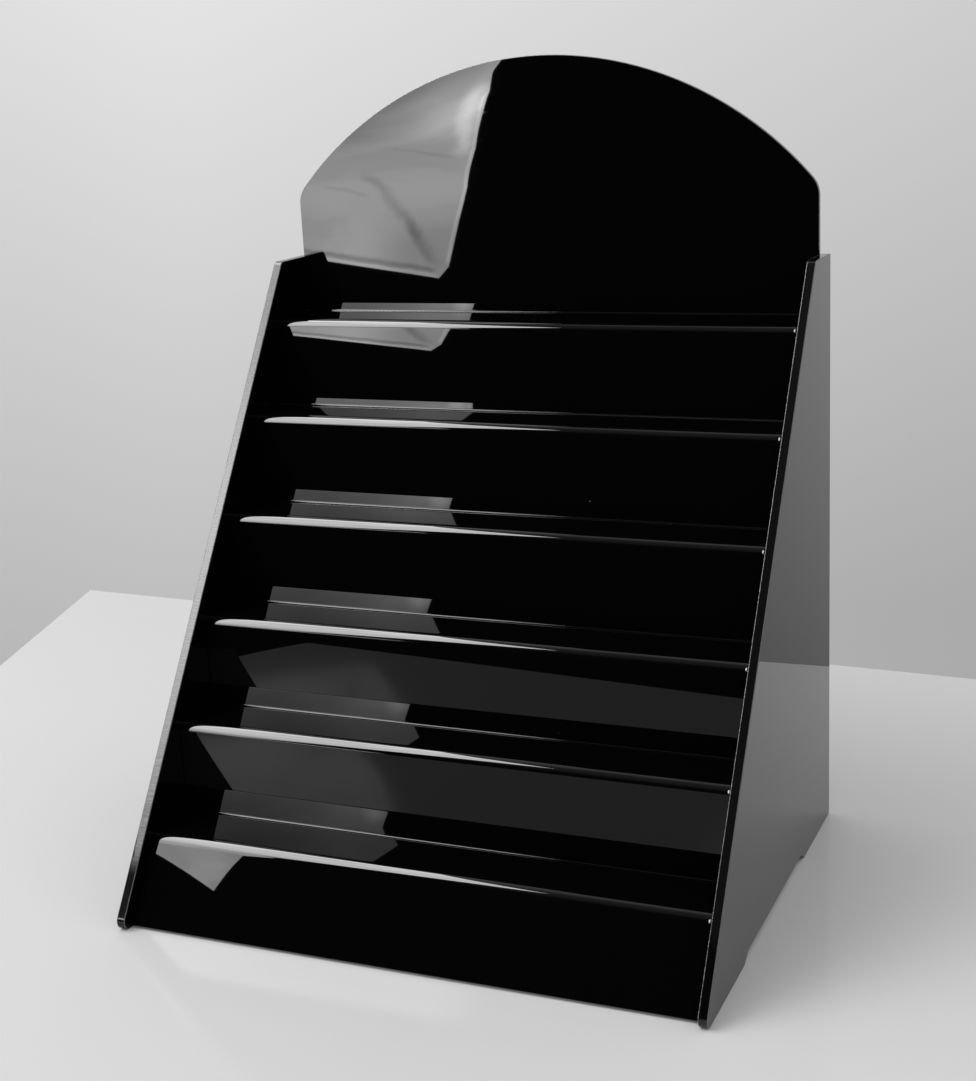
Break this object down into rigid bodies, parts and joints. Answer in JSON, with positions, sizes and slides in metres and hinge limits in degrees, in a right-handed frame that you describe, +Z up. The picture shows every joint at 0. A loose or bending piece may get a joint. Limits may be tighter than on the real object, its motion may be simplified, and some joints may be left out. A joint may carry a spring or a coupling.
{
  "type": "countertop display stand",
  "caption": "Countertop display stand of glossy black acrylic sheet: wedge-shaped side panels, stepped display tiers with rounded noses and an arched header board.",
  "frame": {"origin": "on the standing surface, under the middle of the stand's bounding box", "axes": "+Z up, -Y towards the customer in front of the steps, +X to the right as seen from the front"},
  "size_m": [0.4, 0.316, 0.5408],
  "materials": {
    "panel_acrylic": "polished black cast acrylic, 6 mm sheet with saw-cut edges",
    "step_acrylic": "polished black acrylic, 3 mm sheet, heat-bent",
    "header_acrylic": "polished black acrylic, 3 mm sheet with a routed edge"
  },
  "bodies": {
    "root": {"side_panel_left": "panel_acrylic", "side_panel_right": "panel_acrylic", "header_board": "header_acrylic", "step_1": "step_acrylic", "step_2": "step_acrylic", "step_3": "step_acrylic", "step_4": "step_acrylic", "step_5": "step_acrylic", "step_6": "step_acrylic"}
  },
  "joints": []
}
